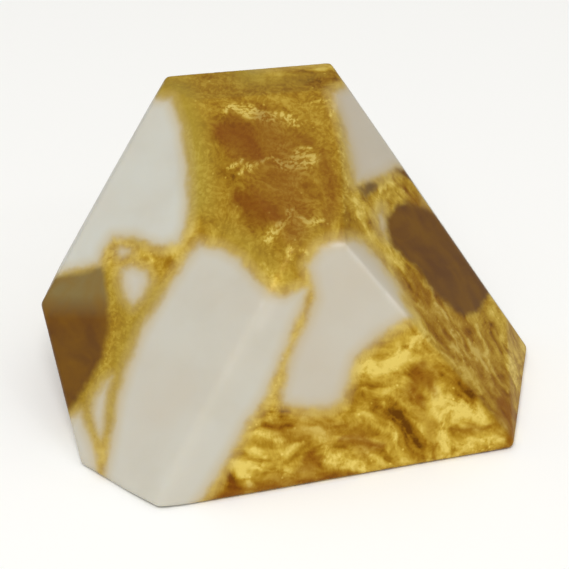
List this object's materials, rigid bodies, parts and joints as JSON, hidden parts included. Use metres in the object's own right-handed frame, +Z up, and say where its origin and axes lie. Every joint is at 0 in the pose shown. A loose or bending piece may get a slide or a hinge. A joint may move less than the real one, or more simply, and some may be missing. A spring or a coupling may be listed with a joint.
{
  "type": "faceted gold-in-quartz imitation block",
  "caption": "Hand-cut faceted block of milky and smoky quartz-like chunks set in gold-shot amber, a cast imitation of gold in quartz that stands on its base facet.",
  "frame": {"origin": "under the middle of the block's box, on the plane of the base facet", "axes": "+X along the block's width, +Y from the tall front facet towards the back, +Z up"},
  "size_m": [0.0812, 0.0696, 0.0469],
  "materials": {
    "cast_quartz": "cut flat and polished by hand: milky white, smoky brown and gold-shot amber, semi-gloss"
  },
  "bodies": {
    "root": {"block": "cast_quartz"}
  },
  "joints": []
}
